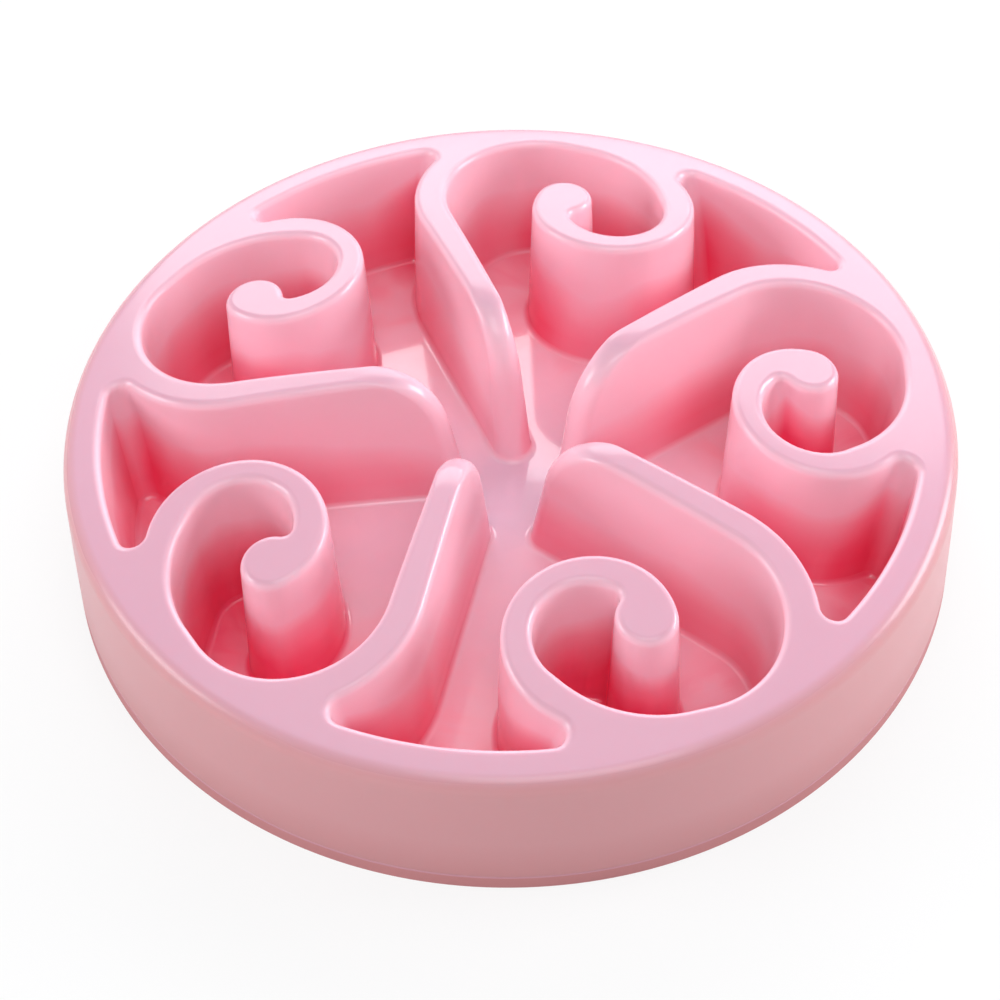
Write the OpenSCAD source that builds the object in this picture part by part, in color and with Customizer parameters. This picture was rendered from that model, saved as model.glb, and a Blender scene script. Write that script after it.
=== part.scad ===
// Slow feeder bowl: one moulded bowl with five scroll ridges and the soft ring that it stands on.
// Millimetres, +Z up, origin on the ground under the middle of the bowl.

/* [Bowl] */
// Diameter across the top of the rim
rim_d = 288; // [265:1:320]
// How far the foot of the skirt stands out past the rim, all round
skirt_flare = 2; // [1:0.5:6]
// Height of the rim's edge over the ground, where the domed top starts
bowl_h = 50; // [42:0.5:56]
// How much higher the dome that the ridges' tops lie on stands in the middle than at the rim
crown_h = 16; // [8:0.5:18]
// How much higher the floor stands in the middle than at the rim
floor_crown_h = 6.5; // [0:0.5:8]
// Width of the rim between its outer side and the food wells
rim_w = 12.4; // [12:0.1:13]
// Radius of the rim's outer edge
rim_edge_r = 3; // [1:0.25:4]
// Thickness of the skirt
skirt_t = 3; // [2.6:0.1:3.5]
// Thickness of the walls round the wells and of the ridges
wall_t = 2.4; // [1.8:0.1:2.8]
// Thickness of the floor
floor_t = 2.2; // [1.8:0.1:2.6]
// Height of the floor's underside over the ground, near the rim
floor_lift = 1; // [0.8:0.1:1.4]

/* [Wells and ridges] */
// Radius of the round well inside each scroll
well_r = 32; // [31:0.1:33]
// Lean of the well walls from the vertical, in degrees
well_draft = 6.5; // [5:0.5:9]
// Lean of the ridges' outer walls from the vertical, in degrees
ridge_draft = 2.5; // [1:0.25:4]
// Thickness of a ridge where its fin leaves the rim
fin_root_t = 10.9; // [10:0.1:12]
// Radius of the round end of a scroll
bulb_r = 9.5; // [9:0.1:10]
// Half the thickness of a fin at its inner end
fin_end_r = 4.6; // [4.3:0.1:5]
// Radius of the upright curve at a fin's inner end
nose_r = 26; // [22:0.5:29]
// Lean of a fin's inner end from the vertical, in degrees
nose_lean = 10; // [6:1:14]
// Radius of the ridges' top edges
edge_r = 2.4; // [1.6:0.2:2.6]
// Bevel between the walls and the floor
foot_bevel = 1.2; // [0.8:0.1:1.4]
// Radius of the upright corners in the pockets, seen from above
pocket_r = 4.4; // [4:0.1:5]
// Radius of the notch between a scroll's hook and its round end
notch_r = 3; // [2.8:0.1:3.2]

/* [Base ring] */
// Height of the soft base ring
ring_h = 5.6; // [5:0.1:7]
// Thickness of the ring's outer lip
ring_lip_t = 1.4; // [1:0.1:1.6]
// Thickness of the ring's inner lip
ring_inner_t = 1.6; // [1:0.1:2]
// Thickness of the ring under the skirt
ring_web_t = 1.5; // [1:0.1:2]
// Clearance between the ring's groove and the skirt
seat_gap = 0.15; // [0.1:0.05:0.3]
// Bevel on the ring's outer top edge, which shows as a fine line
ring_bevel = 0.5; // [0.2:0.1:0.8]

/* [Hidden] */
// Length by which a cut runs past the surface that it opens
over = 1;
scrolls = 5;
pitch = 360 / scrolls;
rim_r = rim_d / 2;
base_r = rim_r + skirt_flare;
crown_r = rim_r - rim_edge_r;
well_out_r = rim_r - rim_w;
depth = bowl_h - floor_lift - floor_t;
facets = 90;
// The floor's flats are turned a little, so that none of its corners meets the end of a fin
floor_facets = 60;
floor_turn = 1;
disc_facets = 12;
crown_steps = 5;
floor_steps = 2;
edge_turn = 45;

// Direction in degrees from the middle of the bowl to the first scroll's well
well_turn = 226.7;
// Middles of the other round stretches of a scroll, from the middle of its well, as shares of the well's radius
curl_share = [-0.522, 0.628];
hook_share = [-0.495, 0.716];
shoulder_share = [0.092, 0.303];
// Radii of the curl, its tighter end, the hook inside it and the shoulder, as shares of the well's radius
curl_r_share = 0.895;
curl_end_r_share = 0.709;
hook_r_share = 0.533;
shoulder_r_share = 1.24;
// Tip of the fin on the floor, as a share of the rim radius
tip_share = [-0.0865, -0.091];
// Directions in degrees: along the fin, and to the points where the curl tightens and ends in the bulb
fin_turn = 74.6;
curl_end_turn = 0;
bulb_turn = -65.2;
// Points on each round stretch, in the order of scroll_circles()
steps = [5, 3, 9, 4, 7, 3, 6, 4, 8, 7, 4, 3];
// Where the hollow under a curl is measured: the circle on the ridge's outer side and those on its inner side,
// as numbered in scroll_circles(), and the direction in degrees from the middle of the outer one
curl_stations = [
    [2, [7], 165], [2, [6, 7], 150], [2, [6, 7], 135], [2, [6], 113], [2, [6], 90],
    [2, [6], 65], [2, [6], 40], [2, [6], 15], [3, [6], -10], [3, [6], -32]
];
bulb = 4;
// The same for the fin, up to where it runs straight
fin_stations = [[10, [8], -66], [10, [8], -50], [10, [8], -33], [10, [8], -16]];
nose = 9;

function toward(angle) = [cos(angle), sin(angle)];

// Where a circle of radius a about the origin meets one of radius b about p: side 1 is left of p, -1 is right
function meet(a, p, b, side) =
    let (d = norm(p), along = (a * a - b * b + d * d) / (2 * d), across = sqrt(max(0, a * a - along * along)))
    (p * along + side * [-p.y, p.x] * across) / d;

// Middle of the pocket corner that touches the wells' outer circle and a ridge circle: side 1 is left, -1 right
function pocket(outer, middle, radius, side) = meet(outer - pocket_r, middle, radius + pocket_r, side);

// Share of the crown at a distance from the middle: 1 in the middle, 0 at the rim
function crown(rho) = max(0, 1 - pow(rho / crown_r, 2));

// Height of a point at a distance from the middle and a given drop below the domed top
function height(rho, drop) =
    bowl_h - drop + crown(rho) * (crown_h + (floor_crown_h - crown_h) * max(drop, 0) / depth);

// Radius of the skirt's outer side at height z
function skirt_r(z) = base_r + (rim_r - base_r) * z / bowl_h;

// How far back from its tip on the floor a fin ends, at a given drop below the top
function nose_back(drop) =
    let (arc_drop = nose_r * (1 - sin(nose_lean)))
    drop >= arc_drop
        ? (depth - drop) * tan(nose_lean)
        : (depth - arc_drop) * tan(nose_lean)
            + nose_r * (cos(nose_lean) - sqrt(1 - pow(1 - max(drop, 0) / nose_r, 2)));

// The circles that the edge of the wells runs round in one scroll, as [x, y, radius], at a given drop below
// the top. A radius is positive where the circle is open space and negative where it is ridge.
function scroll_circles(drop) =
    let (
        lean = max(drop, 0) * tan(well_draft),
        swell = max(drop, 0) * tan(ridge_draft),
        outer = well_out_r - lean,
        well = (well_out_r - well_r) * toward(well_turn),
        curl = well + well_r * curl_share,
        curl_r = well_r * curl_r_share + swell,
        curl_end_r = well_r * curl_end_r_share + swell,
        curl_end = curl + (curl_r - curl_end_r) * toward(curl_end_turn),
        bulb_swell_r = bulb_r + swell,
        bulb = curl_end + (curl_end_r - bulb_swell_r) * toward(bulb_turn),
        hook = well + well_r * hook_share,
        hook_r = well_r * hook_r_share - (lean + swell) / 2,
        notch = hook + meet(hook_r - notch_r, bulb - hook, bulb_swell_r + notch_r, 1),
        shoulder = well + well_r * shoulder_share,
        bend_r = well_r + fin_root_t + swell,
        end_r = fin_end_r + swell,
        nose = rim_r * tip_share - (nose_back(drop) + fin_end_r) * toward(fin_turn),
        scroll_pocket = pocket(outer, curl, curl_r, -1),
        fin_pocket = pocket(outer, well, bend_r, 1)
    )
    [
        [0, 0, outer],
        [scroll_pocket.x, scroll_pocket.y, pocket_r],
        [curl.x, curl.y, -curl_r],
        [curl_end.x, curl_end.y, -curl_end_r],
        [bulb.x, bulb.y, -bulb_swell_r],
        [notch.x, notch.y, notch_r],
        [hook.x, hook.y, hook_r],
        [shoulder.x, shoulder.y, well_r * shoulder_r_share - lean],
        [well.x, well.y, well_r - lean],
        [nose.x, nose.y, -end_r],
        [well.x, well.y, -bend_r],
        [fin_pocket.x, fin_pocket.y, pocket_r]
    ];

// Direction square to the straight line that runs from circle a to circle b, pointing into the open space
function side_angle(a, b) =
    let (step = [b.x - a.x, b.y - a.y], ratio = (b.z - a.z) / norm(step))
    atan2(step.y, step.x) + acos(max(-1, min(1, ratio)));

// Angle from a to b, turning left for positive circles and right for negative ones
function sweep(a, b, sign) =
    let (slack = 20, t = sign * (b - a) + slack)
    sign * max(0, t - 360 * floor(t / 360) - slack);

// The outline that runs round the circles like a belt, moved out into the ridges by grow
function belt(circles, grow) =
    let (n = len(circles))
    [
        for (i = [0 : n - 1])
        let (
            c = circles[i],
            count = steps[i % len(steps)],
            first = side_angle(circles[(i + n - 1) % n], c),
            turn = sweep(first, side_angle(c, circles[(i + 1) % n]), sign(c.z))
        )
        for (j = [1 : 2 : 2 * count])
        [c.x, c.y] - (c.z + grow) * toward(first + turn * j / (2 * count))
    ];

function turned(p, angle) = [p.x * cos(angle) - p.y * sin(angle), p.x * sin(angle) + p.y * cos(angle), p.z];

// One ring of points round all the scrolls, at a given drop below the domed top, or level over its middle
function wells_ring(drop, grow) =
    let (
        circles = scroll_circles(drop),
        all = [for (k = [0 : scrolls - 1]) for (c = circles) turned(c, k * pitch)]
    )
    [for (p = belt(all, grow)) [p.x, p.y, drop <= -over ? bowl_h + crown_h + over : height(norm(p), drop)]];

// Drop below the top and growth of the wells at each level: edge rounding, wall, then the bevel at the floor
edge_drop = edge_r * (1 - cos(edge_turn));
edge_grow = edge_r * sin(edge_turn);
levels = concat(
    [[-over, edge_r + edge_grow], [-edge_drop, edge_r + edge_grow]],
    [for (a = [edge_turn : edge_turn : 90]) [edge_r * (1 - cos(a)), edge_r * (1 - sin(a))]],
    [for (share = [0.3, 0.7]) [edge_r + (nose_r - edge_r) * share, 0]],
    [[depth - foot_bevel, 0], [depth + over, -foot_bevel - over]]
);

// The space of the wells, the pockets and the middle, lofted from over the top to under the floor
module wells_space() {
    rings = [for (level = levels) wells_ring(level[0], level[1])];
    n = len(rings[0]);
    last = (len(rings) - 1) * n;
    sides = [
        for (i = [0 : len(rings) - 2]) for (j = [0 : n - 1])
        let (k = (j + 1) % n)
        each [[i * n + j, i * n + k, (i + 1) * n + k], [i * n + j, (i + 1) * n + k, (i + 1) * n + j]]
    ];
    top = [for (j = [n - 1 : -1 : 0]) j];
    bottom = [for (j = [0 : n - 1]) last + j];
    polyhedron([for (ring = rings) each ring], concat([bottom, top], sides));
}

// Points on a dome from its middle to a given reach, for the height of its edge at the rim and its rise
function dome(edge, rise, reach, steps) =
    [for (i = [0 : steps]) let (rho = reach * i / steps) [rho, edge + rise * crown(rho)]];

// The open space over the domed floor
module wells() {
    intersection() {
        wells_space();
        rotate([0, 0, floor_turn])
            rotate_extrude($fn = floor_facets) polygon(concat(
                dome(floor_lift + floor_t, floor_crown_h, crown_r, floor_steps),
                [[crown_r, bowl_h + crown_h + over], [0, bowl_h + crown_h + over]]
            ));
    }
}

// The bowl as one thick round body with its skirt, before anything is hollowed out
module body() {
    tongue_foot = ring_web_t + seat_gap;
    tongue_in = skirt_r(tongue_foot) - skirt_t - over;
    crown_tilt = atan(2 * crown_h / crown_r);
    top = dome(bowl_h, crown_h, crown_r, crown_steps);
    rotate_extrude($fn = facets) polygon(concat(
        dome(floor_lift, floor_crown_h, well_out_r, floor_steps),
        [
            [tongue_in, floor_lift],
            [tongue_in, tongue_foot],
            [skirt_r(tongue_foot) - ring_lip_t - seat_gap, tongue_foot],
            [skirt_r(ring_h) - ring_lip_t - seat_gap, ring_h],
            [skirt_r(ring_h), ring_h]
        ],
        [
            for (share = [0 : 1 / 3 : 1])
            let (a = share * (90 - crown_tilt))
            [rim_r - rim_edge_r * (1 - cos(a)), bowl_h - rim_edge_r * (1 - sin(a))]
        ],
        [for (i = [crown_steps : -1 : 0]) top[i]]
    ));
}

// The hollow between the skirt and the wells, open below
module rim_hollow() {
    lean = depth * tan(well_draft);
    roof = bowl_h - skirt_t;
    rotate_extrude($fn = facets) polygon([
        [well_out_r - lean + wall_t, floor_lift - over],
        [skirt_r(floor_lift - over) - skirt_t, floor_lift - over],
        [skirt_r(roof) - skirt_t, roof],
        [well_out_r + wall_t, roof]
    ]);
}

// The circle that fits between the outside of circle b and the inside of circle a, in a direction from a
function between(a, b, angle) =
    let (
        step = [b.x - a.x, b.y - a.y],
        sum = abs(a.z) + abs(b.z),
        reach = (sum * sum - step * step) / (2 * (sum - step * toward(angle)))
    )
    [a.x + reach * cos(angle), a.y + reach * sin(angle), abs(a.z) - reach];

// The widest circles inside a ridge, one for each station, at a given drop below the top
function ridge_line(stations, drop) =
    let (circles = scroll_circles(drop))
    [
        for (s = stations)
        let (fits = [for (inner = s[1]) between(circles[s[0]], circles[inner], s[2])], r = min([for (f = fits) f.z]))
        [for (f = fits) if (f.z == r) f][0]
    ];

// A disc of the hollow inside one circle of a ridge
module disc(circle, top) {
    translate([circle.x, circle.y, top - over])
        cylinder(h = over, r = abs(circle.z) - wall_t, $fn = disc_facets);
}

// A disc under the top, at the drop that its circle belongs to
module roof_disc(circle, drop) {
    disc(circle, height(norm([circle.x, circle.y]), drop) - wall_t);
}

// The hollow under a run of circles that are given at the top and at the floor
module hollow_run(high, low) {
    for (i = [0 : len(high) - 2])
        hull()
            for (j = [i, i + 1]) {
                roof_disc(high[j], 0);
                disc(low[j], floor_lift - over);
            }
}

// The hollow under one ridge, along its curl and along its fin
module ridge_hollow() {
    hollow_run(
        concat(ridge_line(curl_stations, 0), [scroll_circles(0)[bulb]]),
        concat(ridge_line(curl_stations, depth), [scroll_circles(depth)[bulb]])
    );
    hollow_run(ridge_line(fin_stations, 0), ridge_line(fin_stations, depth));
    // Under the fin's straight length the roof falls with its inner end
    last = len(fin_stations) - 1;
    back = wall_t * toward(fin_turn);
    hull() {
        roof_disc(ridge_line(fin_stations, 0)[last], 0);
        disc(ridge_line(fin_stations, depth)[last], floor_lift - over);
        for (share = [0, 0.15, 0.4, 0.8]) {
            c = scroll_circles(nose_r * share)[nose];
            roof_disc([c.x - back.x, c.y - back.y, c.z], nose_r * share);
        }
        low = scroll_circles(depth)[nose];
        disc([low.x - back.x, low.y - back.y, low.z], floor_lift - over);
    }
}

module bowl() {
    color("#f4b6c6")
        difference() {
            body();
            wells();
            rim_hollow();
            for (k = [0 : scrolls - 1])
                rotate([0, 0, k * pitch])
                    ridge_hollow();
        }
}

// A soft ring with a groove that the skirt's lower edge sits in
module base_ring() {
    groove_in = skirt_t + seat_gap;
    inner = groove_in + ring_inner_t;
    color("#e8a2b4")
        rotate_extrude($fn = facets)
            polygon([
                [base_r, 0],
                [skirt_r(ring_h - ring_bevel), ring_h - ring_bevel],
                [skirt_r(ring_h) - ring_bevel, ring_h],
                [skirt_r(ring_h) - ring_lip_t, ring_h],
                [skirt_r(ring_web_t) - ring_lip_t, ring_web_t],
                [skirt_r(ring_web_t) - groove_in, ring_web_t],
                [skirt_r(ring_h) - groove_in, ring_h],
                [skirt_r(ring_h) - inner, ring_h],
                [base_r - inner, 0]
            ]);
}

bowl();
base_ring();
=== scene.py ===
"""Builds the looks of a slow feeder bowl: a glossy moulded bowl with five scroll ridges, and its soft ring.

Lengths are in metres, +Z is up, and the origin is on the ground under the middle of the bowl.
"""

import math

import bmesh
import bpy
from bpy.props import FloatProperty, FloatVectorProperty, IntProperty, PointerProperty
from mathutils import Matrix, Vector
from mathutils.bvhtree import BVHTree


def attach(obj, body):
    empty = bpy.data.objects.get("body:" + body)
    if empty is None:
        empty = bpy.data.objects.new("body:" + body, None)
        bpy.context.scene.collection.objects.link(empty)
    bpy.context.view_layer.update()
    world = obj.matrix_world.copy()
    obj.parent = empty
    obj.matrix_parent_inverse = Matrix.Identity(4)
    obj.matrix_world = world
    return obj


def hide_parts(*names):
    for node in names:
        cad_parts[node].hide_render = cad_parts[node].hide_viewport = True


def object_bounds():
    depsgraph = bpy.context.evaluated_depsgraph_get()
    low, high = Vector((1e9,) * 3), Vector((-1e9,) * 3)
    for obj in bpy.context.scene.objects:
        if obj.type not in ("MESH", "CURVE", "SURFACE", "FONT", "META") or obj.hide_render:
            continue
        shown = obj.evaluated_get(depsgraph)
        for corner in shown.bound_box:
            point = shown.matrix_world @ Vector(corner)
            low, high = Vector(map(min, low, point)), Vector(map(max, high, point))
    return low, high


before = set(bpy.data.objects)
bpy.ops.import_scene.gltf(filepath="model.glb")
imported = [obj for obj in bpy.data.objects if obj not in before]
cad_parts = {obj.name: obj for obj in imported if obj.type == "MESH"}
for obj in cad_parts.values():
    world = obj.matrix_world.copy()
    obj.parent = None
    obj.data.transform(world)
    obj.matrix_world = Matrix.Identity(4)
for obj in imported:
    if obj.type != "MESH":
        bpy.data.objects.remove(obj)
SOLID_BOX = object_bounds()
FOOT = min(SOLID_BOX[1].x, SOLID_BOX[1].y, -SOLID_BOX[0].x, -SOLID_BOX[0].y)

bl_info = {
    "name": "Slow feeder bowl",
    "version": (1, 0, 0),
    "blender": (4, 5, 0),
    "location": "3D View > Sidebar > Feeder bowl",
    "description": "A round feeder bowl with scroll ridges, its soft base ring and a plain stage",
    "category": "Add Mesh",
}

MM = 0.001
# Points closer than this are one point, where a filled patch meets its ring
SEAM = 0.0005 * MM
# How near a point lies to the end of a spun outline to count as part of its ring
NEAR = 0.001 * MM
SCROLLS = 5
# Directions in degrees: from the middle of the bowl to the first well, along a fin, and to the points where a
# curl tightens and ends in its bulb
WELL_TURN = 226.7
FIN_TURN = 74.6
CURL_END_TURN = 0
BULB_TURN = -65.2
# Middles of a scroll's other round stretches, from the middle of its well, as shares of the well's radius
CURL_SHARE = Vector((-0.522, 0.628))
HOOK_SHARE = Vector((-0.495, 0.716))
SHOULDER_SHARE = Vector((0.092, 0.303))
# Their radii, as shares of the well's radius
CURL_R_SHARE = 0.895
CURL_END_R_SHARE = 0.709
HOOK_R_SHARE = 0.533
SHOULDER_R_SHARE = 1.24
# Tip of a fin on the floor, as a share of the rim's radius
TIP_SHARE = Vector((-0.0865, -0.091))
# Points on each round stretch of a scroll, in the order of scroll_circles(), and on the straight one after it
STEPS = (22, 8, 30, 14, 24, 6, 20, 14, 32, 22, 18, 8)
STRAIGHT_STEPS = (2, 0, 0, 0, 0, 0, 0, 0, 12, 12, 1, 2)
# Steps round a ridge's top edge, the foot of a wall and the rim's roll
EDGE_STEPS = 6
FOOT_STEPS = 5
ROLL_STEPS = 9
# Places of the outlines down a wall, as shares of the way past a fin's curved nose, below it, and underneath
NOSE_SHARES = (0.06, 0.13, 0.21, 0.3, 0.4, 0.52, 0.66, 0.82, 1)
WALL_SHARES = (0.25, 0.5, 0.75)
UNDER_SHARES = (0.12, 0.2, 0.3, 0.42, 0.6, 0.8)
# Longest edges inside the ridges' tops, the hollow's roof, the floor and its underside
TOP_SPAN = 12 * MM
ROOF_SPAN = 30 * MM
FLOOR_SPAN = 5 * MM
UNDER_SPAN = 20 * MM
# Rounds in which a patch's long edges are halved, at most
SPLIT_ROUNDS = 8

# Rays that find how open a point of the bowl is, from 0 to 1, how far off it they start, and the rounds in
# which the points are evened out with their neighbours
OPEN_RAYS = 48
RAY_START = 0.3 * MM
EVEN_ROUNDS = 5
# How open the plastic is where it has its deepest colour, painted shade and bounced light, that of the walls,
# of the edges with their painted highlight and of the top, its own pink under a painted sheen
DEEP_SHADE_OPEN = 0.08
WALL_OPEN = (0.26, 0.6)
EDGE_HIGHLIGHT_OPEN = 0.84
TOP_OPEN = 0.98
# How much less open the floor counts for those colours
FLOOR_SHIFT = 0.05
# How open the floor is where its paler colour, a painted sheen, starts, over how much it grows, and how
# strong it gets
FLOOR_SHEEN_OPEN = 0.26
FLOOR_SHEEN_RANGE = 0.24
FLOOR_SHEEN_SHARE = 0.9
# Height over the floor up to which a point belongs to it, and over which that fades
FLOOR_SKIN = 0.3 * MM
FLOOR_FADE = 1.2 * MM
# Where the skirt's colour starts outside the middle of the rim's roll, and over what width it grows
SKIRT_START = 1.2 * MM
SKIRT_FADE = 4.2 * MM
# Height over which the skirt fades from the ring's colour, and how strong that is at the ground
LOW_H = 22 * MM
LOW_SHARE = 0.8
# Roughness that the skirt has over the floor's, the walls' share of it, and how much both surfaces vary
SATIN = 0.2
WALL_SATIN_SHARE = 0.5
MOTTLE = 0.04
# Depth below the ring's top down to which its lip carries a painted highlight, over what height that fades,
# and how strong it is
LIP_HIGHLIGHT_DEPTH = 1.1 * MM
LIP_HIGHLIGHT_FADE = 0.5 * MM
LIP_HIGHLIGHT_SHARE = 0.6
# How dark the rubber's darker patches are
RUBBER_DARK = 0.92

# Soft lights: place, width and height, and power in watts
SOFTBOXES = {
    "back_softbox": ((0.15, 1.5, 0.9), (2.0, 1.1), 25),
    "top_softbox": ((-0.2, 0.2, 1.7), (1.2, 1.2), 3),
    "front_softbox": ((0.2, -0.9, 1.6), (1.2, 0.9), 10),
    "left_softbox": ((-1.5, -0.2, 0.6), (0.8, 0.6), 9),
    "right_softbox": ((1.5, 0.3, 0.5), (0.8, 0.6), 14),
}
# Strength of the plain light from all round
WORLD_LIGHT = 0.45
# How white the floor shows to the camera near the bowl, and the squares of the distances in metres where it
# starts to get whiter and over which it turns all white
NEAR_WHITE = 0.8
WHITE_START = 0.1
WHITE_FADE = 0.8


def length(name, text, default):
    """A size that the sidebar shows in the scene's own unit."""
    return FloatProperty(name=name, description=text, default=default, min=0.0, max=1.0,
                         unit="LENGTH", precision=4)


def angle(name, text, degrees):
    """An angle that the sidebar shows in degrees."""
    return FloatProperty(name=name, description=text, default=math.radians(degrees), subtype="ANGLE")


def colour(name, text, default):
    """A colour that the sidebar shows as a swatch."""
    return FloatVectorProperty(name=name, description=text, default=default, size=3, min=0.0, max=1.0,
                               subtype="COLOR")


def srgb(red, green, blue):
    """A colour written from 0 to 255 as it looks on a screen, turned into Blender's linear values."""
    def linear(value):
        value /= 255
        return value / 12.92 if value <= 0.04045 else ((value + 0.055) / 1.055) ** 2.4
    return linear(red), linear(green), linear(blue)


class FeederSizes(bpy.types.PropertyGroup):
    """Sizes of the bowl and its ring."""

    rim_d: length("Rim diameter", "Diameter across the top of the rim", 288 * MM)
    base_d: length("Foot diameter", "Diameter across the foot, where the skirt is widest", 2 * FOOT)
    bowl_h: length("Rim height", "Height of the rim's edge over the ground, where the dome starts", 50 * MM)
    crown_h: length("Dome height", "Rise of the dome of the ridges' tops above the rim", 15.99 * MM)
    floor_crown_h: length("Floor dome", "Rise of the floor from the rim to the middle", 6.5 * MM)
    rim_w: length("Rim width", "Width of the rim outside the wells", 12.4 * MM)
    rim_edge_r: length("Rim edge", "Width outside the dome, where the rim's top turns into the skirt", 3 * MM)
    roll_r: length("Rim roll radius", "Radius of the rim's soft outer edge", 6 * MM)
    skirt_t: length("Skirt thickness", "Thickness of the skirt", 3 * MM)
    wall_t: length("Wall thickness", "Thickness of the walls round the wells and of the ridges", 2.4 * MM)
    floor_t: length("Floor thickness", "Thickness of the floor", 2.2 * MM)
    floor_lift: length("Floor lift", "Height of the floor's underside over the ground, near the rim", 1 * MM)
    well_r: length("Well radius", "Radius of the round well inside each scroll", 32 * MM)
    well_draft: angle("Well draft", "Lean of the well walls from the vertical", 6.5)
    ridge_draft: angle("Ridge draft", "Lean of the ridges' outer walls from the vertical", 2.5)
    fin_root_t: length("Fin root", "Thickness of a ridge where its fin leaves the rim", 10.9 * MM)
    bulb_r: length("Bulb radius", "Radius of the round end of a scroll", 9.5 * MM)
    notch_r: length("Notch radius", "Radius of the notch between a scroll's hook and its round end", 3 * MM)
    fin_end_r: length("Fin end radius", "Half the thickness of a fin at its inner end", 4.6 * MM)
    nose_r: length("Nose radius", "Radius of the upright curve at a fin's inner end", 26 * MM)
    nose_lean: angle("Nose lean", "Lean of a fin's inner end from the vertical", 10)
    edge_r: length("Edge radius", "Radius of the ridges' top edges", 2.4 * MM)
    foot_r: length("Foot radius", "Radius between the walls and the floor", 1.8 * MM)
    pocket_r: length("Pocket radius", "Radius of the upright corners in the pockets", 4.4 * MM)
    ring_h: length("Ring height", "Height of the soft base ring", 5.6 * MM)
    ring_lip_t: length("Ring lip", "Thickness of the ring's outer lip", 1.4 * MM)
    ring_inner_t: length("Ring inner lip", "Thickness of the ring's inner lip", 1.6 * MM)
    ring_web_t: length("Ring web", "Thickness of the ring under the skirt", 1.5 * MM)
    seat_gap: length("Seat gap", "Clearance between the ring's groove and the skirt", 0.15 * MM)
    ring_bevel: length("Ring bevel", "Bevel on the ring's outer top edge", 0.5 * MM)
    segments: IntProperty(name="Segments", description="Faces round the skirt and the ring",
                          default=240, min=48, max=512)


class FeederFinish(bpy.types.PropertyGroup):
    """Colours and gloss of the two materials."""

    # The top's own pink under a painted sheen that turns it lilac; the ring's lip is paled toward it as a
    # painted highlight
    plastic: colour("Plastic", "Colour of the bowl's plastic on its top", srgb(216, 164, 182))
    # Painted highlight: the pale pink given to the rounded top edges
    edge_painted_highlight: colour("Plastic edges", "Colour of the rounded top edges", srgb(243, 192, 207))
    plastic_wall: colour("Plastic walls", "Colour of the plastic on the walls", srgb(254, 199, 213))
    # Painted shade and bounced light: the deep red given to the plastic where it is most closed in
    deep_painted_shade: colour("Deep plastic", "Colour where the plastic is most closed in", srgb(252, 84, 120))
    # Painted sheen: the pale lilac laid on the open parts of the wells' floor
    floor: colour("Floor", "Paler colour of the polished floor", srgb(225, 186, 206))
    skirt: colour("Skirt", "Colour of the thin skirt outside", srgb(213, 151, 155))
    ring: colour("Ring", "Colour of the soft ring", srgb(203, 134, 136))
    gloss: FloatProperty(name="Roughness", description="Roughness of the floor, the smoothest surface",
                         default=0.1, min=0.0, max=1.0)


class FeederStage(bpy.types.PropertyGroup):
    """The camera of the stage."""

    lens: FloatProperty(name="Lens", description="Focal length of the camera", default=83.77,
                        min=10, max=300, subtype="DISTANCE_CAMERA")
    pitch: angle("Pitch", "Angle at which the camera looks down", 49.142)
    roll: angle("Roll", "Turn of the camera round its own line of sight", -1.769)
    place: FloatVectorProperty(name="Place", description="Where the camera stands",
                               default=(-0.00381, -0.512, 0.5999), size=3,
                               subtype="TRANSLATION", unit="LENGTH")


def toward(degrees):
    """The direction at an angle in degrees, seen from above."""
    return Vector((math.cos(math.radians(degrees)), math.sin(math.radians(degrees))))


def angle_of(step):
    return math.degrees(math.atan2(step.y, step.x))


def meet(a, p, b, side):
    """Where a circle of radius a about the origin meets one of radius b about p.

    Side 1 is the meeting left of p, and -1 the one right of it.
    """
    d = p.length
    along = (a * a - b * b + d * d) / (2 * d)
    across = math.sqrt(max(0, a * a - along * along))
    return (p * along + Vector((-p.y, p.x)) * side * across) / d


def skirt_r(s, z):
    """Radius of the skirt's outer side at height z."""
    return s.base_d / 2 + (s.rim_d - s.base_d) / 2 * z / s.bowl_h


def well_depth(s):
    return s.bowl_h - s.floor_lift - s.floor_t


def crown(s, rho):
    """Share of the dome's rise at a distance from the middle: 1 in the middle, 0 at the rim."""
    return max(0.0, 1 - (rho / (s.rim_d / 2 - s.rim_edge_r)) ** 2)


def height(s, rho, drop):
    """Height of a point at a distance from the middle and a drop below the domed top."""
    rise = s.crown_h + (s.floor_crown_h - s.crown_h) * drop / well_depth(s)
    return s.bowl_h - drop + crown(s, rho) * rise


def nose_back(s, drop):
    """How far back from its tip on the floor a fin ends, at a given drop below the top."""
    arc_drop = s.nose_r * (1 - math.sin(s.nose_lean))
    if drop >= arc_drop:
        return (well_depth(s) - drop) * math.tan(s.nose_lean)
    return (well_depth(s) - arc_drop) * math.tan(s.nose_lean) + s.nose_r * (
        math.cos(s.nose_lean) - math.sqrt(1 - (1 - max(drop, 0) / s.nose_r) ** 2))


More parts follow.
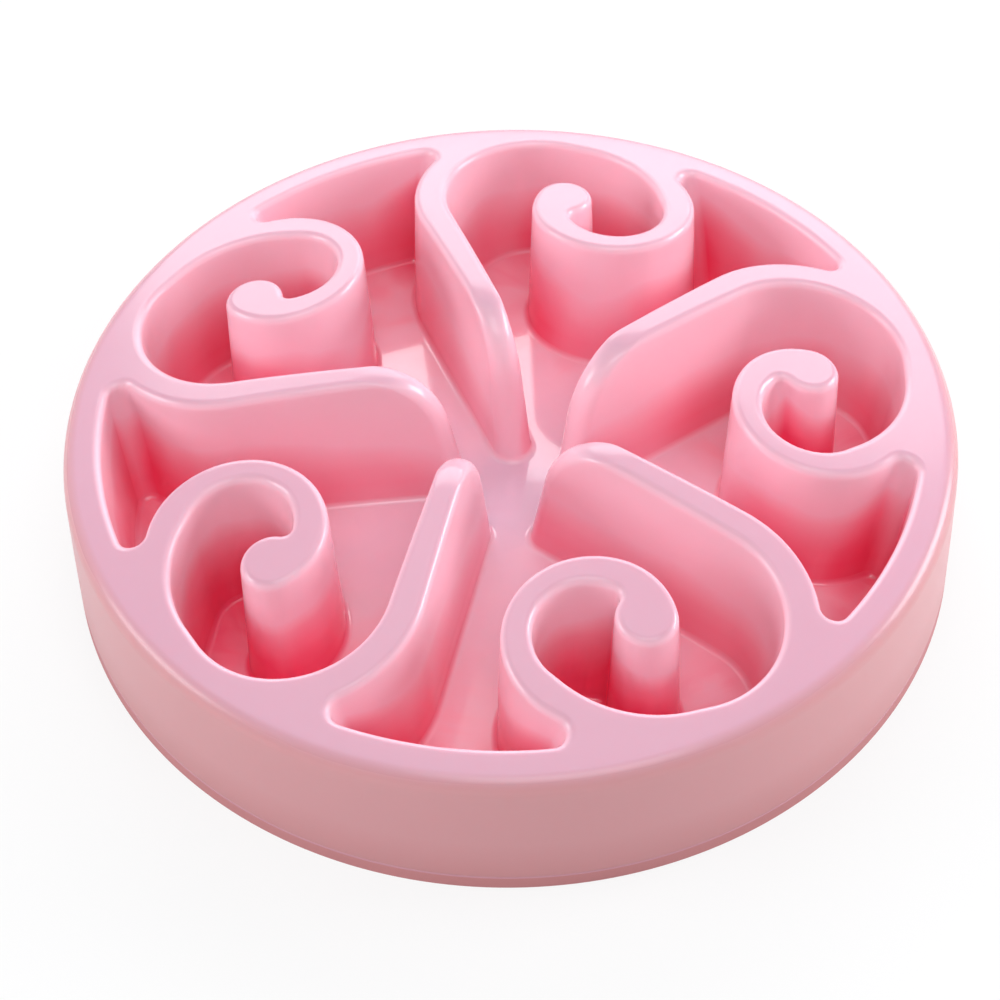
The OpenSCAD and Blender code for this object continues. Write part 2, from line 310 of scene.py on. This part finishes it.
def scroll_circles(s, drop):
    """The circles that the edge of the wells runs round in one scroll, as (middle, radius).

    A radius is positive where the circle is open space and negative where it is ridge.
    """
    lean = drop * math.tan(s.well_draft)
    swell = drop * math.tan(s.ridge_draft)
    outer = s.rim_d / 2 - s.rim_w - lean
    well = toward(WELL_TURN) * (s.rim_d / 2 - s.rim_w - s.well_r)
    curl = well + CURL_SHARE * s.well_r
    curl_r = s.well_r * CURL_R_SHARE + swell
    curl_end_r = s.well_r * CURL_END_R_SHARE + swell
    curl_end = curl + toward(CURL_END_TURN) * (curl_r - curl_end_r)
    bulb_r = s.bulb_r + swell
    bulb = curl_end + toward(BULB_TURN) * (curl_end_r - bulb_r)
    hook = well + HOOK_SHARE * s.well_r
    hook_r = s.well_r * HOOK_R_SHARE - (lean + swell) / 2
    notch = hook + meet(hook_r - s.notch_r, bulb - hook, bulb_r + s.notch_r, 1)
    shoulder = well + SHOULDER_SHARE * s.well_r
    bend_r = s.well_r + s.fin_root_t + swell
    nose = TIP_SHARE * (s.rim_d / 2) - toward(FIN_TURN) * (nose_back(s, drop) + s.fin_end_r)
    return [
        (Vector((0, 0)), outer),
        (meet(outer - s.pocket_r, curl, curl_r + s.pocket_r, -1), s.pocket_r),
        (curl, -curl_r),
        (curl_end, -curl_end_r),
        (bulb, -bulb_r),
        (notch, s.notch_r),
        (hook, hook_r),
        (shoulder, s.well_r * SHOULDER_R_SHARE - lean),
        (well, s.well_r - lean),
        (nose, -s.fin_end_r - swell),
        (well, -bend_r),
        (meet(outer - s.pocket_r, well, bend_r + s.pocket_r, 1), s.pocket_r),
    ]


def side_angle(a, b):
    """Direction square to the straight line from circle a to circle b, pointing into the open space."""
    step = b[0] - a[0]
    ratio = (b[1] - a[1]) / step.length
    return angle_of(step) + math.degrees(math.acos(max(-1.0, min(1.0, ratio))))


def sweep(a, b, sign, slack=20):
    """Angle from a to b, turning left for open circles and right for ridges."""
    turn = (sign * (b - a) + slack) % 360 - slack
    return sign * max(0.0, turn)


def wells_outline(s, drop, grow, lower=0.0):
    """The outline round all the wells at a drop below the top, moved out into the ridges by grow.

    It lies lower than that drop by the length given last.
    """
    circles = []
    for turn in range(SCROLLS):
        spin = Matrix.Rotation(math.radians(turn * 360 / SCROLLS), 2)
        circles += [(spin @ middle, radius) for middle, radius in scroll_circles(s, drop)]
    count = len(circles)
    arcs = []
    for i, (middle, radius) in enumerate(circles):
        steps = STEPS[i % len(STEPS)]
        first = side_angle(circles[i - 1], circles[i])
        turn = sweep(first, side_angle(circles[i], circles[(i + 1) % count]), math.copysign(1, radius))
        reach = radius + grow
        arcs.append([middle - toward(first + turn * (j + 0.5) / steps) * reach for j in range(steps)])
    spots = []
    for i, arc_spots in enumerate(arcs):
        parts = STRAIGHT_STEPS[i % len(STEPS)] + 1
        following = arcs[(i + 1) % count][0]
        spots += arc_spots + [arc_spots[-1].lerp(following, j / parts) for j in range(1, parts)]
    return [Vector((spot.x, spot.y, height(s, spot.length, drop) - lower)) for spot in spots]


def first_ring(bm, points):
    """A closed ring of edges through the points."""
    ring = bmesh.ops.create_circle(bm, cap_ends=False, segments=len(points), radius=1)["verts"]
    for vert, point in zip(ring, points):
        vert.co = point
    return ring


def ring_edges(bm, ring):
    return [bm.edges.get((a, b)) for a, b in zip(ring, ring[1:] + ring[:1])]


def next_ring(bm, ring, points):
    """Extrudes a ring to the next outline and returns the new ring."""
    made = bmesh.ops.extrude_edge_only(bm, edges=ring_edges(bm, ring))["geom"]
    fresh = {item for item in made if isinstance(item, bmesh.types.BMVert)}
    follow = []
    for vert in ring:
        others = [edge.other_vert(vert) for edge in vert.link_edges]
        follow.append(next(other for other in others if other in fresh))
    for vert, point in zip(follow, points):
        vert.co = point
    return follow


def loft(bm, outlines):
    """Skins a run of outlines with as many points each, and returns the first and last ring."""
    first = ring = first_ring(bm, outlines[0])
    for points in outlines[1:]:
        ring = next_ring(bm, ring, points)
    return first, ring


def spin_round(bm, profile, segments, closed):
    """Spins a run of (radius, height) points, open or closed, once round the middle."""
    verts = [bm.verts.new((radius, 0, z)) for radius, z in profile]
    following = verts[1:] + verts[:1] if closed else verts[1:]
    edges = [bm.edges.new(pair) for pair in zip(verts, following)]
    bmesh.ops.spin(bm, geom=verts + edges, cent=(0, 0, 0), axis=(0, 0, 1), dvec=(0, 0, 0),
                   angle=2 * math.pi, steps=segments, use_merge=True)


def spun_skin(bm, profile, segments):
    """Spins an open run of (radius, height) points and returns the rings at its two ends."""
    before = set(bm.verts)
    spin_round(bm, profile, segments, closed=False)
    made = [vert for vert in bm.verts if vert not in before]
    rings = []
    for radius, z in (profile[0], profile[-1]):
        ring = [v for v in made if abs(v.co.z - z) < NEAR and abs(v.co.xy.length - radius) < NEAR]
        rings.append(sorted(ring, key=lambda v: math.atan2(v.co.y, v.co.x)))
    return rings


def inner_edges(bm):
    return [edge for edge in bm.edges if not edge.is_boundary]


def patch(bm, rings, up, level, span):
    """Fills between rings of the bmesh, or inside the only one, with a surface that follows level(rho).

    It is made apart, from copies of the rings, with no edge inside it longer than the span.
    """
    made = bmesh.new()
    border = []
    for ring in rings:
        border += ring_edges(made, first_ring(made, [vert.co for vert in ring]))
    bmesh.ops.triangle_fill(made, use_beauty=True, use_dissolve=False, edges=border,
                            normal=(0, 0, 1 if up else -1))
    for _ in range(SPLIT_ROUNDS):
        wide = [edge for edge in inner_edges(made) if edge.calc_length() > span]
        if not wide:
            break
        bmesh.ops.subdivide_edges(made, edges=wide, cuts=1)
        for vert in made.verts:
            if not vert.is_boundary:
                vert.co.z = level(vert.co.xy.length)
        bmesh.ops.triangulate(made, faces=made.faces, quad_method="SHORT_EDGE")
        bmesh.ops.beautify_fill(made, faces=made.faces, edges=inner_edges(made))
    mesh = bpy.data.meshes.new("patch")
    made.to_mesh(mesh)
    made.free()
    bm.from_mesh(mesh)
    bpy.data.meshes.remove(mesh)


def arc(start, stop, steps):
    """Angles in radians from start to stop, both in degrees."""
    return [math.radians(start + (stop - start) * i / steps) for i in range(steps + 1)]


def mark_openness(bm):
    """Stores on each point the share of the rays from it that the bowl itself doesn't stop."""
    layer = bm.verts.layers.float.new("openness")
    bm.normal_update()
    tree = BVHTree.FromBMesh(bm)
    golden = math.pi * (3 - math.sqrt(5))
    rays = []
    for i in range(OPEN_RAYS):
        up = 1 - (2 * i + 1) / OPEN_RAYS
        across = math.sqrt(1 - up * up)
        rays.append(Vector((across * math.cos(golden * i), across * math.sin(golden * i), up)))
    for vert in bm.verts:
        start = vert.co + vert.normal * RAY_START
        free = sum(tree.ray_cast(start, ray + vert.normal * 1.001)[0] is None for ray in rays)
        vert[layer] = free / OPEN_RAYS
    for _ in range(EVEN_ROUNDS):
        means = []
        for vert in bm.verts:
            around = [edge.other_vert(vert)[layer] for edge in vert.link_edges]
            means.append(sum(around) / len(around))
        for vert, mean in zip(bm.verts, means):
            vert[layer] = (vert[layer] + mean) / 2


def finish_mesh(bm, name, material, replaced, sharp=40):
    """Turns the bmesh into a piece that rides on the bowl and stands for its solid."""
    bmesh.ops.recalc_face_normals(bm, faces=bm.faces)
    limit = math.radians(sharp)
    for face in bm.faces:
        face.smooth = True
    for edge in bm.edges:
        edge.smooth = edge.is_manifold and edge.calc_face_angle(math.pi) < limit
    mesh = bpy.data.meshes.new(name)
    bm.to_mesh(mesh)
    bm.free()
    piece = bpy.data.objects.new(name, mesh)
    bpy.context.scene.collection.objects.link(piece)
    mesh.materials.append(material)
    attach(piece, "root")
    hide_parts(replaced)


class Value:
    """A socket whose value Python's own operators work on, each adding a Math node."""

    def __init__(self, shader, socket):
        self.shader = shader
        self.socket = socket

    def other(self, name):
        """Another output of the same node."""
        return Value(self.shader, self.socket.node.outputs[name])

    def math(self, operation, a, b=0.0, clamp=False):
        return self.shader.add("ShaderNodeMath", {"operation": operation, "use_clamp": clamp}, {0: a, 1: b})

    def __add__(self, other):
        return self.math("ADD", self, other)

    def __sub__(self, other):
        return self.math("SUBTRACT", self, other)

    def __rsub__(self, other):
        return self.math("SUBTRACT", other, self)

    def __mul__(self, other):
        return self.math("MULTIPLY", self, other)

    def __truediv__(self, other):
        return self.math("DIVIDE", self, other)

    __radd__ = __add__
    __rmul__ = __mul__

    def clamped(self):
        return self.math("ADD", self, 0.0, clamp=True)


class Shader:
    """A new node material, and the one way to add nodes to it."""

    def __init__(self, name):
        self.material = bpy.data.materials.new(name)
        self.material.use_nodes = True
        self.tree = self.material.node_tree
        self.tree.nodes.clear()

    def add(self, kind, settings=None, sockets=None, output=0):
        """Adds a node, sets its settings, then its sockets by name or number, and gives one output."""
        node = self.tree.nodes.new(kind)
        for key, value in (settings or {}).items():
            if key == "stops":
                ramp = node.color_ramp
                while len(ramp.elements) < len(value):
                    ramp.elements.new(1)
                for element, (place, tint) in zip(ramp.elements, value):
                    element.position, element.color = place, tint
            else:
                setattr(node, key, value)
        for key, value in (sockets or {}).items():
            if isinstance(value, Value):
                self.tree.links.new(value.socket, node.inputs[key])
            else:
                node.inputs[key].default_value = value
        return Value(self, node.outputs[output]) if node.outputs else None

    def mix(self, factor, first, second):
        """Mixes two colours."""
        return self.add("ShaderNodeMix", {"data_type": "RGBA"}, {0: factor, 6: first, 7: second}, output=2)

    def noise(self, place, scale, detail=2.0, roughness=0.5):
        return self.add("ShaderNodeTexNoise", None,
                        {"Vector": place, "Scale": scale, "Detail": detail, "Roughness": roughness})

    def finish(self, surface):
        self.add("ShaderNodeOutputMaterial", None, {"Surface": surface})
        return self.material


def plastic(finish, sizes):
    """Glossy, slightly translucent plastic, with painted shade and bounced light deepening its colour where
    it is closed in, a painted sheen on its tops and open floor, and a painted highlight on its top edges.
    """
    shader = Shader("pink_plastic")
    spot = shader.add("ShaderNodeTexCoord", output="Object")
    x = shader.add("ShaderNodeSeparateXYZ", None, {"Vector": spot})
    y, z = x.other("Y"), x.other("Z")
    rho_squared = x * x + y * y
    crown_r = sizes.rim_d / 2 - sizes.rim_edge_r
    top = (1 - rho_squared / crown_r ** 2).clamped() * sizes.crown_h + sizes.bowl_h
    cloud = shader.noise(spot, 26)
    mottle = (cloud - 0.5) * MOTTLE
    light = shader.add("ShaderNodeAttribute", {"attribute_name": "openness"}, output="Fac") + mottle
    floor_dome = (top - sizes.bowl_h) * (sizes.floor_crown_h / sizes.crown_h)
    floor_z = floor_dome + (sizes.floor_lift + sizes.floor_t)
    on_floor = 1 - ((z - floor_z - FLOOR_SKIN) / FLOOR_FADE).clamped()
    # Colours set by how open each point is: painted shade and bounce deepen the hollows, the edges get a
    # painted highlight and the tops a painted sheen
    stops = [
        (DEEP_SHADE_OPEN, (*finish.deep_painted_shade, 1)),
        (WALL_OPEN[0], (*finish.plastic_wall, 1)),
        (WALL_OPEN[1], (*finish.plastic_wall, 1)),
        (EDGE_HIGHLIGHT_OPEN, (*finish.edge_painted_highlight, 1)),
        (TOP_OPEN, (*finish.plastic, 1)),
    ]
    inside = shader.add("ShaderNodeValToRGB", {"stops": stops}, {"Fac": light - on_floor * FLOOR_SHIFT})
    # Painted sheen on the floor, stronger where more of it is open to the light
    polished = on_floor * ((light - FLOOR_SHEEN_OPEN) / FLOOR_SHEEN_RANGE).clamped() * FLOOR_SHEEN_SHARE
    lined = shader.mix(polished, inside, (*finish.floor, 1))
    roll_mid = sizes.rim_d / 2 - sizes.roll_r
    outside = ((rho_squared - (roll_mid + SKIRT_START) ** 2) / (2 * roll_mid * SKIRT_FADE)).clamped()
    low = (1 - z / LOW_H).clamped()
    skirt = shader.mix(low * LOW_SHARE, (*finish.skirt, 1), (*finish.ring, 1))
    # Outside the rim's roll the tops' painted sheen gives way to the skirt's plain colour
    tint = shader.mix(outside, lined, skirt)
    satin = outside + (1 - outside) * (1 - on_floor) * WALL_SATIN_SHARE
    rough = finish.gloss + satin * SATIN + mottle
    grain = shader.noise(spot, 900, 3, 0.6) * 0.25 + shader.noise(spot, 38, 1, 0.4)
    bump = shader.add("ShaderNodeBump", None, {"Strength": 0.05, "Distance": 0.0004, "Height": grain})
    return shader.finish(shader.add("ShaderNodeBsdfPrincipled", None, {
        "Base Color": tint, "Roughness": rough, "Normal": bump, "IOR": 1.48,
        "Coat Weight": on_floor * 0.7, "Coat Roughness": 0.03,
        "Subsurface Weight": 0.25, "Subsurface Radius": (1.0, 0.35, 0.4), "Subsurface Scale": 0.006}))


def soft_rubber(finish, sizes):
    """Satin soft rubber with a fine grain, and a painted highlight along its upper lip."""
    shader = Shader("soft_ring")
    spot = shader.add("ShaderNodeTexCoord", output="Object")
    cloud = shader.noise(spot, 30)
    bump = shader.add("ShaderNodeBump", None,
                      {"Strength": 0.12, "Distance": 0.0003, "Height": shader.noise(spot, 1400, 3, 0.6)})
    tint = shader.mix(cloud, (*finish.ring, 1), (*[RUBBER_DARK * part for part in finish.ring], 1))
    z = shader.add("ShaderNodeSeparateXYZ", None, {"Vector": spot}, output="Z")
    # Painted highlight along the ring's top edge, paled toward the bowl's top colour
    lip = ((z - (sizes.ring_h - LIP_HIGHLIGHT_DEPTH)) / LIP_HIGHLIGHT_FADE).clamped()
    tint = shader.mix(lip * LIP_HIGHLIGHT_SHARE, tint, (*finish.plastic, 1))
    return shader.finish(shader.add("ShaderNodeBsdfPrincipled", None, {
        "Base Color": tint, "Roughness": cloud * 0.1 + 0.5, "Normal": bump, "IOR": 1.45}))


class FEEDER_OT_bowl(bpy.types.Operator):
    """Build the moulded bowl with its skirt, wells and scroll ridges."""

    bl_idname = "feeder.bowl"
    bl_label = "Bowl"
    bl_options = {"REGISTER", "UNDO"}

    def execute(self, context):
        s = context.scene.feeder_sizes
        depth = well_depth(s)
        flat = 0.4 * MM
        bm = bmesh.new()

        # The wells, from the domed top over the rounded edge and down the wall to its foot and the floor
        nose_drop = s.nose_r * (1 - math.sin(s.nose_lean))
        foot_drop = depth - s.foot_r
        levels = [(0, s.edge_r + flat)]
        for a in arc(0, 90, EDGE_STEPS):
            levels.append((s.edge_r * (1 - math.cos(a)), s.edge_r * (1 - math.sin(a))))
        levels += [(s.edge_r + (nose_drop - s.edge_r) * share, 0) for share in NOSE_SHARES]
        levels += [(nose_drop + (foot_drop - nose_drop) * share, 0) for share in WALL_SHARES]
        for a in arc(0, 90, FOOT_STEPS):
            levels.append((depth - s.foot_r * (1 - math.sin(a)), -s.foot_r * (1 - math.cos(a))))
        levels.append((depth, -s.foot_r - flat / 2))
        wells_top, wells_floor = loft(bm, [wells_outline(s, drop, grow) for drop, grow in levels])

        # The underside follows the wells at the thickness of the wall
        drops = [s.wall_t] + [depth * share for share in UNDER_SHARES]
        outlines = [wells_outline(s, drop, s.wall_t) for drop in drops]
        outlines.append(wells_outline(s, depth, s.wall_t, s.floor_t))
        under_roof, under_floor = loft(bm, outlines)

        # The skirt, from the hollow's roof down inside, round its edge in the ring, then up and over the rim
        roof = s.bowl_h - s.wall_t
        foot = s.ring_web_t + s.seat_gap
        tongue = s.ring_lip_t + s.seat_gap
        crown_r = s.rim_d / 2 - s.rim_edge_r
        roll_mid = s.rim_d / 2 - s.roll_r
        tilt = math.atan(2 * s.crown_h * roll_mid / crown_r ** 2)
        roll_end = roll_mid + s.roll_r * math.sin(tilt)
        roll_z = height(s, roll_end, 0) - s.roll_r * math.cos(tilt)
        profile = [(skirt_r(s, roof) - s.skirt_t, roof), (skirt_r(s, foot) - s.skirt_t, foot),
                   (skirt_r(s, foot) - tongue, foot), (skirt_r(s, s.ring_h) - tongue, s.ring_h),
                   (skirt_r(s, s.ring_h), s.ring_h), (skirt_r(s, s.bowl_h / 2), s.bowl_h / 2)]
        profile += [(roll_mid + s.roll_r * math.cos(a), roll_z + s.roll_r * math.sin(a))
                    for a in arc(0, 90 - math.degrees(tilt), ROLL_STEPS)]
        profile.append((roll_end - MM, height(s, roll_end - MM, 0)))
        skirt_roof, rim_top = spun_skin(bm, profile, s.segments)

        patch(bm, [rim_top, wells_top], True, lambda rho: height(s, rho, 0), TOP_SPAN)
        patch(bm, [skirt_roof, under_roof], False, lambda rho: height(s, rho, s.wall_t), ROOF_SPAN)
        patch(bm, [wells_floor], True, lambda rho: height(s, rho, depth), FLOOR_SPAN)
        patch(bm, [under_floor], False, lambda rho: height(s, rho, depth) - s.floor_t, UNDER_SPAN)
        bmesh.ops.remove_doubles(bm, verts=bm.verts, dist=SEAM)
        bmesh.ops.recalc_face_normals(bm, faces=bm.faces)
        mark_openness(bm)
        finish_mesh(bm, "moulded_bowl", plastic(context.scene.feeder_finish, s), "bowl")
        return {"FINISHED"}


class FEEDER_OT_ring(bpy.types.Operator):
    """Build the soft ring that the skirt's lower edge sits in."""

    bl_idname = "feeder.ring"
    bl_label = "Base ring"
    bl_options = {"REGISTER", "UNDO"}

    def execute(self, context):
        s = context.scene.feeder_sizes
        groove = s.skirt_t + s.seat_gap
        inner = groove + s.ring_inner_t
        top, web = s.ring_h, s.ring_web_t
        profile = [(s.base_d / 2, 0), (skirt_r(s, top - s.ring_bevel), top - s.ring_bevel),
                   (skirt_r(s, top) - s.ring_bevel, top), (skirt_r(s, top) - s.ring_lip_t, top),
                   (skirt_r(s, web) - s.ring_lip_t, web), (skirt_r(s, web) - groove, web),
                   (skirt_r(s, top) - groove, top), (skirt_r(s, top) - inner, top), (s.base_d / 2 - inner, 0)]
        bm = bmesh.new()
        spin_round(bm, profile, s.segments, closed=True)
        rubber = soft_rubber(context.scene.feeder_finish, s)
        finish_mesh(bm, "soft_base_ring", rubber, "base_ring", sharp=25)
        return {"FINISHED"}


class FEEDER_OT_stage(bpy.types.Operator):
    """Build the floor, the soft lights and the camera."""

    bl_idname = "feeder.stage"
    bl_label = "Stage"
    bl_options = {"REGISTER", "UNDO"}

    def execute(self, context):
        scene = context.scene
        stage = scene.feeder_stage
        self.floor()
        self.world(scene)
        for name, (place, size, power) in SOFTBOXES.items():
            self.softbox(name, place, size, power)
        self.camera(scene, stage)
        scene.view_settings.view_transform = "Standard"
        return {"FINISHED"}

    def floor(self):
        """A pale floor, which shows nearly white to the camera and keeps some of the bowl's shadow."""
        bm = bmesh.new()
        bmesh.ops.create_grid(bm, x_segments=2, y_segments=2, size=6)
        mesh = bpy.data.meshes.new("floor")
        bm.to_mesh(mesh)
        bm.free()
        floor = bpy.data.objects.new("floor", mesh)
        bpy.context.scene.collection.objects.link(floor)
        shader = Shader("white_floor")
        camera_ray = shader.add("ShaderNodeLightPath", output="Is Camera Ray")
        spot = shader.add("ShaderNodeTexCoord", output="Object")
        x = shader.add("ShaderNodeSeparateXYZ", None, {"Vector": spot})
        y = x.other("Y")
        far = ((x * x + y * y - WHITE_START) / WHITE_FADE).clamped()
        paint = shader.add("ShaderNodeBsdfDiffuse", None, {"Color": (0.82, 0.82, 0.82, 1)})
        glow = shader.add("ShaderNodeEmission", None, {"Color": (1, 1, 1, 1), "Strength": 1})
        mesh.materials.append(shader.finish(shader.add("ShaderNodeMixShader", None, {
            0: camera_ray * (far * (1 - NEAR_WHITE) + NEAR_WHITE), 1: paint, 2: glow})))

    def world(self, scene):
        """White to the camera, and a plain soft grey in reflections and as light."""
        world = bpy.data.worlds.new("studio")
        scene.world = world
        world.use_nodes = True
        nodes, links = world.node_tree.nodes, world.node_tree.links
        back = nodes["Background"]
        back.inputs["Color"].default_value = (1, 1, 1, 1)
        ray = nodes.new("ShaderNodeLightPath")
        mix = nodes.new("ShaderNodeMapRange")
        mix.inputs["To Min"].default_value = WORLD_LIGHT
        mix.inputs["To Max"].default_value = 1.0
        links.new(ray.outputs["Is Camera Ray"], mix.inputs["Value"])
        links.new(mix.outputs["Result"], back.inputs["Strength"])

    def softbox(self, name, place, size, power):
        """A soft rectangular light that faces the bowl."""
        light = bpy.data.lights.new(name, "AREA")
        light.shape = "RECTANGLE"
        light.size, light.size_y = size
        light.energy = power
        light.color = (0.95, 0.97, 1.0)
        lamp = bpy.data.objects.new(name, light)
        bpy.context.scene.collection.objects.link(lamp)
        lamp.location = place
        lamp.rotation_mode = "QUATERNION"
        lamp.rotation_quaternion = (-Vector(place)).to_track_quat("-Z", "Y")

    def camera(self, scene, stage):
        """The camera, at the photograph's angle."""
        data = bpy.data.cameras.new("camera")
        data.lens = stage.lens
        data.sensor_width = 36
        data.clip_start, data.clip_end = 0.01, 50
        camera = bpy.data.objects.new("camera", data)
        scene.collection.objects.link(camera)
        up = Vector((0, math.sin(stage.pitch), math.cos(stage.pitch)))
        back = Vector((0, -math.cos(stage.pitch), math.sin(stage.pitch)))
        right = Vector((1, 0, 0))
        across = right * math.cos(stage.roll) + up * math.sin(stage.roll)
        along = up * math.cos(stage.roll) - right * math.sin(stage.roll)
        turn = Matrix((across, along, back)).transposed()
        camera.rotation_mode = "QUATERNION"
        camera.rotation_quaternion = turn.to_quaternion()
        camera.location = stage.place
        scene.camera = camera


class FEEDER_PT_panel(bpy.types.Panel):
    """Sidebar panel of the feeder bowl."""

    bl_label = "Feeder bowl"
    bl_idname = "FEEDER_PT_panel"
    bl_space_type = "VIEW_3D"
    bl_region_type = "UI"
    bl_category = "Feeder bowl"

    def draw(self, context):
        layout = self.layout
        for operator in OPERATORS:
            layout.operator(operator.bl_idname)
        for group in (context.scene.feeder_sizes, context.scene.feeder_finish, context.scene.feeder_stage):
            box = layout.box()
            for name in group.__annotations__:
                box.prop(group, name)


OPERATORS = (FEEDER_OT_bowl, FEEDER_OT_ring, FEEDER_OT_stage)
CLASSES = (FeederSizes, FeederFinish, FeederStage, *OPERATORS, FEEDER_PT_panel)


def register():
    for cls in CLASSES:
        bpy.utils.register_class(cls)
    bpy.types.Scene.feeder_sizes = PointerProperty(type=FeederSizes)
    bpy.types.Scene.feeder_finish = PointerProperty(type=FeederFinish)
    bpy.types.Scene.feeder_stage = PointerProperty(type=FeederStage)


def unregister():
    del bpy.types.Scene.feeder_stage
    del bpy.types.Scene.feeder_finish
    del bpy.types.Scene.feeder_sizes
    for cls in reversed(CLASSES):
        bpy.utils.unregister_class(cls)


def main():
    register()
    bpy.ops.feeder.bowl()
    bpy.ops.feeder.ring()
    bpy.ops.feeder.stage()


if __name__ == "__main__":
    main()
